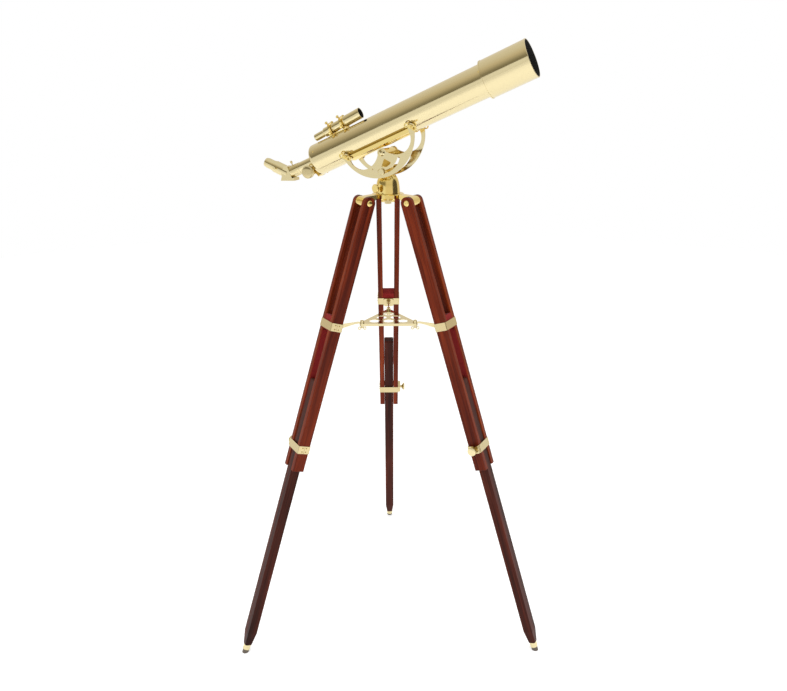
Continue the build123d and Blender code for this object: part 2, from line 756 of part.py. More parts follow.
with BuildPart() as main_tube:
    turned([
        (TUBE_BACK, TUBE_R - TUBE_WALL),
        (TUBE_BACK, TUBE_R),
        (TUBE_FRONT, TUBE_R),
        (TUBE_FRONT, TUBE_R - TUBE_WALL),
    ])
finish(main_tube, "main_tube")

with BuildPart() as rear_cell:
    bore = DRAW_R + 0.08
    with BuildSketch(tube_side):
        with BuildLine():
            edge = ThreePointArc((TUBE_BACK, TUBE_R), (-247.5, 42.5), (-251, 36))
            Polyline(
                edge @ 1,
                (-252.5, bore),
                (-200, bore),
                (-200, 19.6),
                (-249, 19.6),
                (-248, 34),
                (-243, 40.5),
                (-232, 42),
                (-232, TUBE_R - TUBE_WALL - RUN),
                (TUBE_BACK, TUBE_R - TUBE_WALL - RUN),
                edge @ 0,
            )
        make_face()
    revolve(axis=tube_axis, revolution_arc=360)
    with BuildSketch(tube_at(-255)):
        with Locations((0, -17)):
            Rectangle(7.2, 6.4)
    extrude(amount=70, mode=Mode.SUBTRACT)
finish(rear_cell, "rear_cell")

with BuildPart() as tube_baffles:
    for station, opening in ((-120, 22), (20, 28), (180, 34)):
        turned([
            (station, opening),
            (station, TUBE_R - TUBE_WALL - RUN),
            (station + 8, TUBE_R - TUBE_WALL - RUN),
            (station + 8, TUBE_R - TUBE_WALL - 1),
            (station + 1, TUBE_R - TUBE_WALL - 1),
            (station + 1, opening),
        ])
finish(tube_baffles, "tube_baffles")

with BuildPart() as objective_cell:
    seat = LENS_R + 0.1
    turned([
        (CELL_BACK, TUBE_R + RUN),
        (CELL_BACK, SHIELD_R + 0.8),
        (CELL_BACK + 3, SHIELD_R + 0.8),
        (CELL_BACK + 3, SHIELD_R - 1.5),
        (CELL_FRONT, SHIELD_R - 1.5),
        (CELL_FRONT, seat),
        (TUBE_FRONT + 4, seat),
        (TUBE_FRONT + 4, LENS_R - 2),
        (TUBE_FRONT + 0.1, LENS_R - 2),
        (TUBE_FRONT + 0.1, TUBE_R + RUN),
    ])
    turned([
        (CELL_FRONT - 4, LENS_R - 2),
        (CELL_FRONT - 4, seat - 0.05),
        (CELL_FRONT - 0.5, seat - 0.05),
        (CELL_FRONT - 0.5, LENS_R - 1),
    ])
finish(objective_cell, "objective_cell")

with BuildPart() as objective_lenses:
    flint = TUBE_FRONT + 4.1
    lens(tube_side, tube_axis, (flint + 0.6, flint, flint + 6, flint + 4), LENS_R)
    lens(tube_side, tube_axis, (flint + 4.4, flint + 6.4, flint + 12, flint + 13.6), LENS_R)
finish(objective_lenses, "objective_lenses")

with BuildPart() as dew_shield:
    sleeve_r = SHIELD_R - 1.5 + RUN
    mouth_r = SHIELD_R - 1.9
    turned([
        (CELL_FRONT + 0.2, mouth_r),
        (CELL_FRONT + 0.2, sleeve_r),
        (CELL_BACK + 3 + RUN, sleeve_r),
        (CELL_BACK + 3 + RUN, SHIELD_R - 0.2),
        (SHIELD_FRONT - 3, SHIELD_R - 0.2),
        (SHIELD_FRONT - 3, SHIELD_R + 0.3),
        (SHIELD_FRONT - 0.7, SHIELD_R + 0.3),
        (SHIELD_FRONT, SHIELD_R - 0.5),
        (SHIELD_FRONT, mouth_r),
    ])
finish(dew_shield, "dew_shield")


# ---- focuser ----
def pinion_outline(module, teeth, pressure=20.0, thinning=0.12):
    """Corner points of an involute gear, one flank after the other round the whole wheel."""
    pitch_r = module * teeth / 2
    base_r = pitch_r * math.cos(math.radians(pressure))
    tip_r = pitch_r + 0.9 * module
    root_r = pitch_r - 1.25 * module
    inv = math.tan(math.radians(pressure)) - math.radians(pressure)
    half_tooth = math.pi / (2 * teeth) - thinning / pitch_r + inv
    flank = [(root_r, half_tooth)]
    steps = 4
    for step in range(steps + 1):
        radius = base_r + (tip_r - base_r) * step / steps
        roll = math.sqrt(max((radius / base_r) ** 2 - 1, 0))
        flank.append((radius, half_tooth - (roll - math.atan(roll))))
    points = []
    for tooth in range(teeth):
        centre = math.pi / 2 + 2 * math.pi * tooth / teeth
        points += [(r * math.cos(centre - a), r * math.sin(centre - a)) for r, a in flank]
        points += [(r * math.cos(centre + a), r * math.sin(centre + a)) for r, a in reversed(flank)]
    return points


RACK_PITCH = math.pi * GEAR_MODULE
RACK_LINE = PINION_Y + GEAR_MODULE * GEAR_TEETH / 2
RACK_TEETH = 31
pinion_centre = tube_zero + ahead * PINION_S + above * PINION_Y

with BuildPart() as drawtube:
    turned([
        (DRAW_BACK, DRAW_INNER_R),
        (DRAW_BACK, DRAW_R),
        (DRAW_FRONT, DRAW_R),
        (DRAW_FRONT, DRAW_INNER_R),
    ])
    rack_back = PINION_S - 19.5 - 3
    rack_front = rack_back + RACK_TEETH * RACK_PITCH + 6
    rack_root = RACK_LINE + 1.25 * GEAR_MODULE
    with BuildSketch(tube_side):
        with Locations(((rack_back + rack_front) / 2, (rack_root - DRAW_R + 1) / 2)):
            Rectangle(rack_front - rack_back, -DRAW_R + 1 - rack_root)
        tip_half = RACK_PITCH / 4 - 0.9 * GEAR_MODULE * math.tan(math.radians(20)) - 0.05
        root_half = RACK_PITCH / 4 + 1.25 * GEAR_MODULE * math.tan(math.radians(20)) - 0.05
        tip_y = RACK_LINE - 0.9 * GEAR_MODULE
        first = PINION_S + RACK_PITCH / 2 - round((PINION_S - rack_back) / RACK_PITCH - 1) * RACK_PITCH
        for tooth in range(RACK_TEETH):
            middle = first + tooth * RACK_PITCH
            Polygon(
                (middle - root_half, rack_root + 0.01),
                (middle - tip_half, tip_y),
                (middle + tip_half, tip_y),
                (middle + root_half, rack_root + 0.01),
                align=None,
            )
    extrude(amount=3, both=True)
finish(drawtube, "drawtube")

with BuildPart() as focus_pinion:
    with BuildSketch(Plane(origin=pinion_centre, x_dir=ahead, z_dir=near)):
        with BuildLine():
            Polyline(*pinion_outline(GEAR_MODULE, GEAR_TEETH), close=True)
        make_face()
    extrude(amount=3.2, both=True)
    with BuildSketch(Plane(origin=pinion_centre, x_dir=ahead, z_dir=near)):
        Circle(2.5)
    extrude(amount=44, both=True)
finish(focus_pinion, "focus_pinion")

with BuildPart() as focus_knobs:
    for side in (1, -1):
        with BuildSketch(Plane(origin=pinion_centre, x_dir=near * side, z_dir=ahead)):
            with BuildLine():
                Polyline(
                    (27, 2.5 + RUN),
                    (27, 7),
                    (36, 7),
                    (36.4, FOCUS_KNOB_R - 1),
                    (37.4, FOCUS_KNOB_R),
                    (46, FOCUS_KNOB_R),
                    (47.4, FOCUS_KNOB_R - 1.5),
                    (47.8, 6),
                    (47.8, 0),
                    (44.1, 0),
                    (44.1, 2.5 + RUN),
                    close=True,
                )
            make_face()
        revolve(axis=Axis(pinion_centre, near), revolution_arc=360)
finish(focus_knobs, "focus_knobs")

with BuildPart() as pinion_housing:
    with BuildSketch(tube_side):
        with BuildLine():
            Polyline(
                (-252.6, -15),
                (-252.6, -34.5),
                (-249, -43),
                (-257, -46),
                (-262, -34.5),
                (-281, -34.5),
                (-282.5, -33),
                (-282.5, -15),
                close=True,
            )
        make_face()
    extrude(amount=13, both=True)
    with BuildSketch(tube_at(-300)):
        Circle(DRAW_R + GAP)
        with Locations((0, -17)):
            Rectangle(7.2, 6.4)
    extrude(amount=60, mode=Mode.SUBTRACT)
    with BuildSketch(Plane(origin=pinion_centre, x_dir=ahead, z_dir=near)):
        Circle(GEAR_MODULE * (GEAR_TEETH / 2 + 1) + GAP)
    extrude(amount=3.6, both=True, mode=Mode.SUBTRACT)
    with BuildSketch(Plane(origin=pinion_centre, x_dir=ahead, z_dir=near)):
        Circle(2.5 + RUN)
    extrude(amount=30, both=True, mode=Mode.SUBTRACT)
finish(pinion_housing, "pinion_housing")

with BuildPart() as drawtube_adapter:
    rib_count = 6
    rib_pitch = 4
    outline = [(ADAPTER_BACK, NOSE_R + 0.08), (ADAPTER_BACK, 17.4)]
    for rib in range(rib_count):
        start = ADAPTER_BACK + 3 + rib * rib_pitch
        outline += [(start, 17.4), (start, 18), (start + 2, 18), (start + 2, 17.4)]
    outline += [
        (ADAPTER_FRONT, 17.4),
        (ADAPTER_FRONT, DRAW_R + 0.02),
        (DRAW_BACK - 0.05, DRAW_R + 0.02),
        (DRAW_BACK - 0.05, NOSE_R + 0.08),
    ]
    turned(outline)
    screw_s = -331
    screw_foot = tube_zero + ahead * screw_s
    with BuildSketch(Plane(origin=screw_foot, x_dir=ahead, z_dir=above)):
        Circle(1.8 + RUN)
    extrude(amount=25, mode=Mode.SUBTRACT)
    thumb_screw(screw_foot, above, 1.8, NOSE_R + 0.2, 24, 2.5, 3.8, 25, 31)
finish(drawtube_adapter, "drawtube_adapter")

# ---- diagonal and eyepiece ----
diagonal_centre = tube_zero + ahead * DIAGONAL_S
eye_dir = (above - ahead).normalized()
eye_side = Plane(origin=diagonal_centre, x_dir=eye_dir, z_dir=near)
eye_axis = Axis(diagonal_centre, eye_dir)


def eye_turned(points):
    """Revolves a closed profile of (distance, radius) points about the eyepiece's axis."""
    with BuildSketch(eye_side) as profile:
        with BuildLine():
            Polyline(*points, close=True)
        make_face()
    revolve(profile.sketch, axis=eye_axis, revolution_arc=360)


HOLDER_END = 50
EYE_SCREW_AT = 42
with BuildPart() as diagonal_body:
    with BuildSketch(tube_side):
        Polygon(
            (-380, -11),
            (-337.5, -27.8),
            (-334.5, -19),
            (-341.2, -18),
            (-341.2, 19),
            (-351, 24),
            (-369, 10),
            (-371, 0),
            align=None,
        )
    extrude(amount=17, both=True)
    eye_turned([(2, 0), (2, 18), (HOLDER_END, 18), (HOLDER_END, 0)])
    turned([(-345, 0), (-345, NOSE_R), (DRAW_BACK - 2, NOSE_R), (DRAW_BACK - 2, 0)])
    with BuildSketch(tube_side):
        Polygon(
            (-373, -9),
            (-344, -20.3),
            (-344, -2),
            (-351, 8),
            (-362, 6),
            align=None,
        )
    extrude(amount=14.2, both=True, mode=Mode.SUBTRACT)
    with BuildSketch(tube_at(DIAGONAL_S + 4)):
        Circle(13.6)
    extrude(amount=60, mode=Mode.SUBTRACT)
    with BuildSketch(Plane(origin=diagonal_centre + eye_dir * 6, z_dir=eye_dir)):
        Circle(13.6)
    extrude(amount=60, mode=Mode.SUBTRACT)
    with BuildSketch(Plane(origin=diagonal_centre + eye_dir * 24, z_dir=eye_dir)):
        Circle(NOSE_R + 0.08)
    extrude(amount=60, mode=Mode.SUBTRACT)
    with BuildSketch(Plane(origin=diagonal_centre + eye_dir * EYE_SCREW_AT, x_dir=eye_dir, z_dir=near)):
        Circle(1.8 + RUN)
    extrude(amount=30, mode=Mode.SUBTRACT)
finish(diagonal_body, "diagonal_body")

with BuildPart() as diagonal_prism:
    with BuildSketch(tube_side):
        Polygon(
            (-370, -9.2),
            (-345.5, -18.8),
            (-345.5, -3),
            (-351.5, 6),
            (-360, 4.2),
            align=None,
        )
    extrude(amount=13.5, both=True)
finish(diagonal_prism, "diagonal_prism")

with BuildPart() as diagonal_screws:
    screw_centre = diagonal_centre + eye_dir * EYE_SCREW_AT
    thumb_screw(screw_centre, near, 1.8, NOSE_R + 0.2, 20, 2.5, 4, 21, 26)
finish(diagonal_screws, "eyepiece_clamp_screw")

with BuildPart() as eyepiece_body:
    eye_turned([
        (27, 13.8),
        (27, NOSE_R),
        (HOLDER_END + 0.2, NOSE_R),
        (HOLDER_END + 0.2, 16.2),
        (HOLDER_END + 6, 16.2),
        (HOLDER_END + 7, 15.2),
        (HOLDER_END + 28, 15.2),
        (HOLDER_END + 30, 13.8),
        (HOLDER_END + 34, 13.8),
        (HOLDER_END + 36, 12.5),
        (HOLDER_END + 36, 8),
        (HOLDER_END + 32, 7),
        (HOLDER_END + 32, 11.6),
        (HOLDER_END + 10, 11.6),
        (HOLDER_END + 10, 13.8),
    ])
finish(eyepiece_body, "eyepiece_body")

with BuildPart() as eyepiece_lenses:
    for low, high in ((HOLDER_END + 12, HOLDER_END + 17), (HOLDER_END + 25, HOLDER_END + 31)):
        lens(eye_side, eye_axis, (low - 0.6, low + 0.6, high - 1.4, high), 11.5)
finish(eyepiece_lenses, "eyepiece_lenses")

# ---- finder ----
RING_STATIONS = (-164, -124)
RING_R = 19
tilt = math.radians(FINDER_TILT)
finder_ahead = ahead * math.cos(tilt) + above * math.sin(tilt)
finder_above = above * math.cos(tilt) - ahead * math.sin(tilt)
finder_middle = tube_zero + ahead * FINDER_MIDDLE + above * FINDER_Y
finder_zero = finder_middle - finder_ahead * FINDER_MIDDLE
finder_side = Plane(origin=finder_zero, x_dir=finder_ahead, z_dir=near)
finder_axis = Axis(finder_zero, finder_ahead)


def finder_turned(points):
    """Revolves a closed profile of (station, radius) points about the finder's axis."""
    with BuildSketch(finder_side) as profile:
        with BuildLine():
            Polyline(*points, close=True)
        make_face()
    revolve(profile.sketch, axis=finder_axis, revolution_arc=360)


with BuildPart() as finder_tube:
    finder_turned([
        (FINDER_BACK, 5),
        (FINDER_BACK, 9.6),
        (FINDER_BACK + 1, 10.2),
        (FINDER_BACK + 32, 10.2),
        (FINDER_BACK + 36, 13.2),
        (FINDER_FRONT - 62, 13.2),
        (FINDER_FRONT - 52, FINDER_R),
        (FINDER_FRONT, FINDER_R),
        (FINDER_FRONT, FINDER_R - 1.2),
        (FINDER_FRONT - 52, FINDER_R - 1.2),
        (FINDER_FRONT - 62, 12),
        (FINDER_BACK + 37, 12),
        (FINDER_BACK + 33, 9),
        (FINDER_BACK + 3, 9),
        (FINDER_BACK + 3, 5),
    ])
finish(finder_tube, "finder_tube")

with BuildPart() as finder_lenses:
    for middle, radius in ((FINDER_FRONT - 20, FINDER_R - 1.25), (FINDER_BACK + 6, 8.9)):
        lens(finder_side, finder_axis, (middle - 2, middle - 0.8, middle + 0.8, middle + 2), radius)
finish(finder_lenses, "finder_lenses")

SCREW_ANGLES = (45, 135, 205, 335)


def finder_radial(angle):
    """Unit vector across the finder, 90 degrees being straight up."""
    a = math.radians(angle)
    return finder_above * math.sin(a) - near * math.cos(a)


with BuildPart() as finder_bracket:
    for station in RING_STATIONS:
        finder_turned([
            (station - 3, RING_R - 2.5),
            (station - 3, RING_R),
            (station + 3, RING_R),
            (station + 3, RING_R - 2.5),
        ])
    with BuildSketch(tube_at(RING_STATIONS[0] - 12)):
        with Locations((0, TUBE_R - 0.5)):
            Rectangle(18, 5)
    extrude(amount=RING_STATIONS[1] - RING_STATIONS[0] + 24)
    with BuildSketch(tube_at(RING_STATIONS[0] - 40)):
        Circle(TUBE_R + 0.05)
    extrude(amount=120, mode=Mode.SUBTRACT)
    for station in RING_STATIONS:
        for angle in SCREW_ANGLES:
            out = finder_radial(angle)
            with BuildSketch(Plane(origin=finder_zero + finder_ahead * station, z_dir=out)):
                Circle(1.4 + RUN)
            extrude(amount=RING_R + 1, mode=Mode.SUBTRACT)
finish(finder_bracket, "finder_bracket")

with BuildPart() as finder_screws:
    for station in RING_STATIONS:
        rest_r = 13.2 if station == RING_STATIONS[0] else 13.3
        for angle in SCREW_ANGLES:
            out = finder_radial(angle)
            screw_foot = finder_zero + finder_ahead * station
            thumb_screw(screw_foot, out, 1.4, rest_r + 0.15, 23, 2, 4.4, 24, 30)
finish(finder_screws, "finder_screws")
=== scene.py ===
import json
import math

import bmesh
import bpy
from mathutils import Matrix, Vector


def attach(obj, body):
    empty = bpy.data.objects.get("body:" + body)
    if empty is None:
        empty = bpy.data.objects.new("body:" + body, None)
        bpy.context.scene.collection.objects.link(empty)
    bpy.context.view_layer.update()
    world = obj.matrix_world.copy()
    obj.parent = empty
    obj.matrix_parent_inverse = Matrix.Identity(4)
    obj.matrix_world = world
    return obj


# A brass telescope in a yoke mount on a wooden tripod. The scene is in metres, +Z up, in the
# CAD's own frame. The sizes of the small added pieces are millimetres, scaled by MM.
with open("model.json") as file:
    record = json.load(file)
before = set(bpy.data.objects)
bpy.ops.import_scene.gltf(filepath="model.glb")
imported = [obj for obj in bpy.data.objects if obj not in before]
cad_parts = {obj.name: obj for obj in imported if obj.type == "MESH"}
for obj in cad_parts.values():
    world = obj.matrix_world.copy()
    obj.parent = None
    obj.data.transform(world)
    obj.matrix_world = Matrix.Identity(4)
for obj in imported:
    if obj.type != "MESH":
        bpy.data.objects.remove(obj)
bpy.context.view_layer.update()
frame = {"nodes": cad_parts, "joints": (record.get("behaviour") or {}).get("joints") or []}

NODES = frame["nodes"]
JOINTS = {joint["name"]: joint for joint in frame["joints"]}
LEGS = (1, 2, 3)
MM = 0.001
SMOOTH_ANGLE = math.radians(35)      # edges sharper than this stay crisp
AXIS = 0.01                          # the radius where a turned profile meets its axis

# The finder's middle, along and above the tube in millimetres, and its front's upward tilt
FINDER_STATION = -142
FINDER_HEIGHT = 62.9
FINDER_TILT = math.radians(2.75)


# ---- frames, worked out from the joints ----
def joint_place(name):
    return Vector(JOINTS[name]["pos_m"])


def joint_axis(name):
    return Vector(JOINTS[name]["axis"]).normalized()


def frame_matrix(origin, x, z):
    """A frame with its Z along z, and its X as near to x as that allows."""
    z = z.normalized()
    y = z.cross(x).normalized()
    x = y.cross(z)
    return Matrix.Translation(origin) @ Matrix((x, y, z)).transposed().to_4x4()


def looking(origin, direction):
    """A frame at a point with its Z along a direction."""
    helper = Vector((0, 0, 1)) if abs(direction.normalized().z) < 0.9 else Vector((1, 0, 0))
    return frame_matrix(origin, helper.cross(direction), direction)


def leg_frame(number):
    """At the leg's pivot: X across, towards the clamp screw's side; Y outwards; Z up the leg."""
    across = joint_axis(f"leg_{number}_clamp_turn")
    up = -joint_axis(f"leg_{number}_extend")
    return frame_matrix(joint_place(f"leg_{number}_fold"), across, up)


def tube_point(station, up=0):
    """A point given in millimetres along and above the tube's axis."""
    return TUBE_ZERO + (AHEAD * station + ABOVE * up) * MM


LEG = {number: leg_frame(number) for number in LEGS}
AHEAD = -joint_axis("focus")
NEAR = joint_axis("altitude")
ABOVE = NEAR.cross(AHEAD)
TURN_POINT = joint_place("diagonal_turn")
TUBE_ZERO = TURN_POINT - AHEAD * (TURN_POINT.x / AHEAD.x)
TUBE = frame_matrix(TUBE_ZERO, ABOVE, AHEAD)
FINDER_AHEAD = AHEAD * math.cos(FINDER_TILT) + ABOVE * math.sin(FINDER_TILT)
FINDER_ABOVE = ABOVE * math.cos(FINDER_TILT) - AHEAD * math.sin(FINDER_TILT)
FINDER_MIDDLE = tube_point(FINDER_STATION, FINDER_HEIGHT)
FINDER = frame_matrix(FINDER_MIDDLE - FINDER_AHEAD * FINDER_STATION * MM, FINDER_ABOVE,
                      FINDER_AHEAD)


# ---- mesh helpers ----
def make_object(name, bm, material, body):
    bmesh.ops.recalc_face_normals(bm, faces=bm.faces)
    mesh = bpy.data.meshes.new(name)
    bm.to_mesh(mesh)
    bm.free()
    mesh.materials.append(material)
    piece = bpy.data.objects.new(name, mesh)
    bpy.context.scene.collection.objects.link(piece)
    for face in mesh.polygons:
        face.use_smooth = True
    mesh.set_sharp_from_angle(angle=SMOOTH_ANGLE)
    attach(piece, body)


def add_lathe(bm, profile, place, segments, wobble=None):
    """Adds a closed (radius, height) profile in millimetres turned about the place's Z axis.

    wobble, if given, is a function of the angle that scales the radius.
    """
    rings = []
    for step in range(segments):
        angle = 2 * math.pi * step / segments
        scale = wobble(angle) if wobble else 1
        ring = []
        for radius, height in profile:
            x = radius * scale * math.cos(angle)
            y = radius * scale * math.sin(angle)
            ring.append(bm.verts.new(place @ (Vector((x, y, height)) * MM)))
        rings.append(ring)
    count = len(profile)
    for step in range(segments):
        here, there = rings[step], rings[(step + 1) % segments]
        for index in range(count):
            after = (index + 1) % count
            bm.faces.new((here[index], here[after], there[after], there[index]))


def add_box(bm, size, place):
    """Adds a box of the given size in millimetres, centred on the place."""
    made = bmesh.ops.create_cube(bm, size=1)
    scale = Matrix.Diagonal((size[0] * MM, size[1] * MM, size[2] * MM, 1))
    bmesh.ops.transform(bm, matrix=place @ scale, verts=made["verts"])


# ---- node helpers ----
def new_material(name, color, roughness, metallic=0.0):
    material = bpy.data.materials.new(name)
    material.use_nodes = True
    shader = material.node_tree.nodes["Principled BSDF"]
    shader.inputs["Base Color"].default_value = (*color, 1)
    shader.inputs["Roughness"].default_value = roughness
    shader.inputs["Metallic"].default_value = metallic
    return material, material.node_tree, shader


def add_noise(tree, scale, detail, stretch=(1, 1, 1), turn=None):
    """Noise in the piece's own coordinates, first turned into a frame and then stretched."""
    coordinates = tree.nodes.new("ShaderNodeTexCoord")
    source = coordinates.outputs["Object"]
    if turn is not None:
        turned = tree.nodes.new("ShaderNodeMapping")
        turned.inputs["Rotation"].default_value = turn.inverted().to_euler("XYZ")
        tree.links.new(source, turned.inputs["Vector"])
        source = turned.outputs["Vector"]
    mapping = tree.nodes.new("ShaderNodeMapping")
    mapping.inputs["Scale"].default_value = stretch
    noise = tree.nodes.new("ShaderNodeTexNoise")
    noise.inputs["Scale"].default_value = scale
    noise.inputs["Detail"].default_value = detail
    tree.links.new(source, mapping.inputs["Vector"])
    tree.links.new(mapping.outputs["Vector"], noise.inputs["Vector"])
    return noise.outputs["Fac"]


def remap(tree, source, low, high, start, end):
    """Turns start to end into low to high, and holds those limits beyond them."""
    node = tree.nodes.new("ShaderNodeMapRange")
    node.inputs["From Min"].default_value = start
    node.inputs["From Max"].default_value = end
    node.inputs["To Min"].default_value = low
    node.inputs["To Max"].default_value = high
    tree.links.new(source, node.inputs["Value"])
    return node.outputs["Result"]


def color_ramp(tree, source, stops):
    """Colours the source by (position, colour) stops."""
    ramp = tree.nodes.new("ShaderNodeValToRGB")
    elements = ramp.color_ramp.elements
    while len(elements) < len(stops):
        elements.new(0.5)
    for element, (position, color) in zip(elements, stops):
        element.position = position
        element.color = (*color, 1)
    tree.links.new(source, ramp.inputs["Fac"])
    return ramp.outputs["Color"]


def mix_colors(tree, factor, first, second, blend="MIX"):
    """Mixes two colours. Each of the three inputs is another node's output or a plain value."""
    node = tree.nodes.new("ShaderNodeMixRGB")
    node.blend_type = blend
    for name, value in (("Fac", factor), ("Color1", first), ("Color2", second)):
        if isinstance(value, bpy.types.NodeSocket):
            tree.links.new(value, node.inputs[name])
        else:
            node.inputs[name].default_value = value
    return node.outputs["Color"]


def add_bump(tree, shader, source, strength, distance):
    bump = tree.nodes.new("ShaderNodeBump")
    bump.inputs["Strength"].default_value = strength
    bump.inputs["Distance"].default_value = distance
    tree.links.new(source, bump.inputs["Height"])
    tree.links.new(bump.outputs["Normal"], shader.inputs["Normal"])


# ---- materials ----
def brass_material(name, color, rough_low, rough_high, lathe=None):
    """Polished brass with faint smears, and fine turning marks round a lathe frame's Z axis."""
    material, tree, shader = new_material(name, color, rough_low, metallic=1.0)
    smears = add_noise(tree, scale=22, detail=4)
    roughness = remap(tree, smears, rough_low, rough_high, start=0.3, end=0.7)
    tree.links.new(roughness, shader.inputs["Roughness"])
    if lathe is not None:
        marks = add_noise(tree, scale=700, detail=2, stretch=(0.01, 0.01, 1), turn=lathe)
        add_bump(tree, shader, marks, strength=0.12, distance=0.00005)
    return material


def wood_material(name, turn, dark, middle, light):
    """Straight-grained, thinly lacquered wood whose grain runs along the Z axis of a frame."""
    material, tree, shader = new_material(name, middle, 0.34)
    shader.inputs["Specular IOR Level"].default_value = 0.07
    shader.inputs["Coat Weight"].default_value = 0.05
    shader.inputs["Coat Roughness"].default_value = 0.12
    grain = add_noise(tree, scale=46, detail=5, stretch=(1, 1, 0.045), turn=turn)
    color = color_ramp(tree, grain, ((0.30, dark), (0.52, middle), (0.72, light)))
    pores = add_noise(tree, scale=420, detail=2, stretch=(1, 1, 0.02), turn=turn)
    streaks = color_ramp(tree, pores, ((0.36, (0.45, 0.38, 0.36)), (0.5, (1, 1, 1))))
    streaked = mix_colors(tree, 0.75, color, streaks, "MULTIPLY")
    tree.links.new(streaked, shader.inputs["Base Color"])
    add_bump(tree, shader, pores, strength=0.25, distance=0.0003)
    return material


def felt_material():
    material, tree, shader = new_material("red_felt", (0.22, 0.006, 0.006), 0.95)
    shader.inputs["Sheen Weight"].default_value = 0.06
    shader.inputs["Sheen Roughness"].default_value = 0.4
    fluff = add_noise(tree, scale=900, detail=4)
    add_bump(tree, shader, fluff, strength=0.6, distance=0.0006)
    return material


def glass_material():
    material, _, shader = new_material("lens_glass", (0.75, 0.9, 0.88), 0.02)
    shader.inputs["Transmission Weight"].default_value = 1.0
    shader.inputs["IOR"].default_value = 1.5
    return material


# Woods: the colours of the dark, middle and light grain
SLAT_COLORS = ((0.07, 0.008, 0.003), (0.165, 0.022, 0.006), (0.33, 0.06, 0.013))
LOWER_COLORS = ((0.022, 0.005, 0.003), (0.058, 0.011, 0.006), (0.115, 0.021, 0.010))

# Brasses: the colour, then the lowest and highest roughness
BRASS = brass_material("polished_brass", (0.72, 0.62, 0.36), 0.08, 0.15)
BRASS_TURNED = brass_material("turned_brass", (0.72, 0.62, 0.37), 0.09, 0.16, TUBE.to_3x3())
BRASS_DEEP = brass_material("golden_brass", (0.84, 0.66, 0.25), 0.08, 0.16)
BRASS_STRAP = brass_material("strap_brass", (0.61, 0.51, 0.28), 0.12, 0.22)
BRASS_NAIL = brass_material("nail_brass", (0.46, 0.33, 0.12), 0.2, 0.3)
BRASS_DARK = brass_material("brass_in_a_groove", (0.30, 0.2, 0.07), 0.35, 0.5)

BLACK = new_material("matt_black", (0.012, 0.012, 0.012), 0.85)[0]
RUBBER = new_material("rubber_foot", (0.11, 0.09, 0.07), 0.6)[0]
FELT = felt_material()
GLASS = glass_material()

DRESSED_ALIKE = (
    (BRASS_TURNED, ("main_tube", "rear_cell", "dew_shield", "objective_cell", "drawtube")),
    (BRASS_DEEP, ("leg_pivot_bolts", "azimuth_lock_screw", "saddle", "finder_bracket",
                  "finder_screws", "saddle_wing_nuts", "tripod_head", "pinion_housing",
                  "pedestal")),
    (BRASS_STRAP, ("focus_knobs",)),
    (GLASS, ("objective_lenses", "diagonal_prism", "eyepiece_lenses", "finder_lenses")),
    (BLACK, ("tube_baffles",)),
)


def dress(node, material):
    for slot in NODES[node].material_slots:
        slot.material = material


def dress_leg(number):
    turn = LEG[number].to_3x3()
    leg = f"leg_{number}"
    dress(f"{leg}_slats", wood_material(f"slat_wood_{number}", turn, *SLAT_COLORS))
    dress(f"{leg}_sliding_leg", wood_material(f"lower_wood_{number}", turn, *LOWER_COLORS))
    dress(f"{leg}_felt", FELT)
    dress(f"{leg}_foot_tip", RUBBER)
    dress(f"{leg}_tray_band", BRASS_STRAP)
    dress(f"{leg}_clamp_band", BRASS_STRAP)


def dress_all():
    """Gives every CAD node its material: plain polished brass unless it is named otherwise."""
    for name in NODES:
        dress(name, BRASS)
    for number in LEGS:
        dress_leg(number)
    for material, names in DRESSED_ALIKE:
        for name in names:
            dress(name, material)


# ---- small pieces that the CAD leaves out ----
# The straps' flat sides, where the seams and nails are, from the middle of the leg
CLAMP_BAND_FACE = 33.95
TRAY_BAND_FACE = 35.78
SEAM_SIZE = (0.8, 23.4, 0.3)
NAIL_OFFSET = 6
NAIL_PROFILE = ((AXIS, -0.3), (2.3, -0.3), (2.3, 0.1), (1.8, 0.7), (0.9, 1.1), (AXIS, 1.2))

# The knobs' ribbed rims. Heights are along the shaft, from the joint.
CLAMP_RIM_RADIUS = 13.1
CLAMP_RIM = (52.2, 55.2)
CLAMP_TEETH = 36
FOCUS_RIM_RADIUS = 18.4
FOCUS_RIM = (38, 46)
FOCUS_TEETH = 60
FOCUS_FACE_PROFILE = ((AXIS, 47.6), (15.4, 47.6), (15.4, 48.0), (14.8, 48.3), (4.2, 48.6),
                      (3.8, 49.0), (AXIS, 49.3))
RIB_HEIGHT = 0.35

# The skin of the tube's cells, and where round it their screws stand; 90 degrees is the top
CELL_RADIUS = 45
CELL_SCREW_ANGLES = (-90, 30, 150)


def make_band_nails(number, joint, label, face):
    """The strap's seam, on the side away from the clamp screw, with two nails each side of it."""
    leg = LEG[number]
    across, outwards, up = leg.to_3x3().col
    level = (leg.inverted() @ joint_place(f"leg_{number}_{joint}")).z
    middle = leg @ Vector((-face * MM, 0, level))

    bm = bmesh.new()
    for side in (-1, 1):
        for row in (-1, 1):
            spot = middle + (outwards * side + up * row) * NAIL_OFFSET * MM
            add_lathe(bm, NAIL_PROFILE, looking(spot, -across), segments=20)
    make_object(f"leg_{number}_{label}_nails", bm, BRASS_NAIL, f"leg_{number}")

    bm = bmesh.new()
    add_box(bm, SEAM_SIZE, frame_matrix(middle, outwards, -across))
    make_object(f"leg_{number}_{label}_seam", bm, BRASS_DARK, f"leg_{number}")


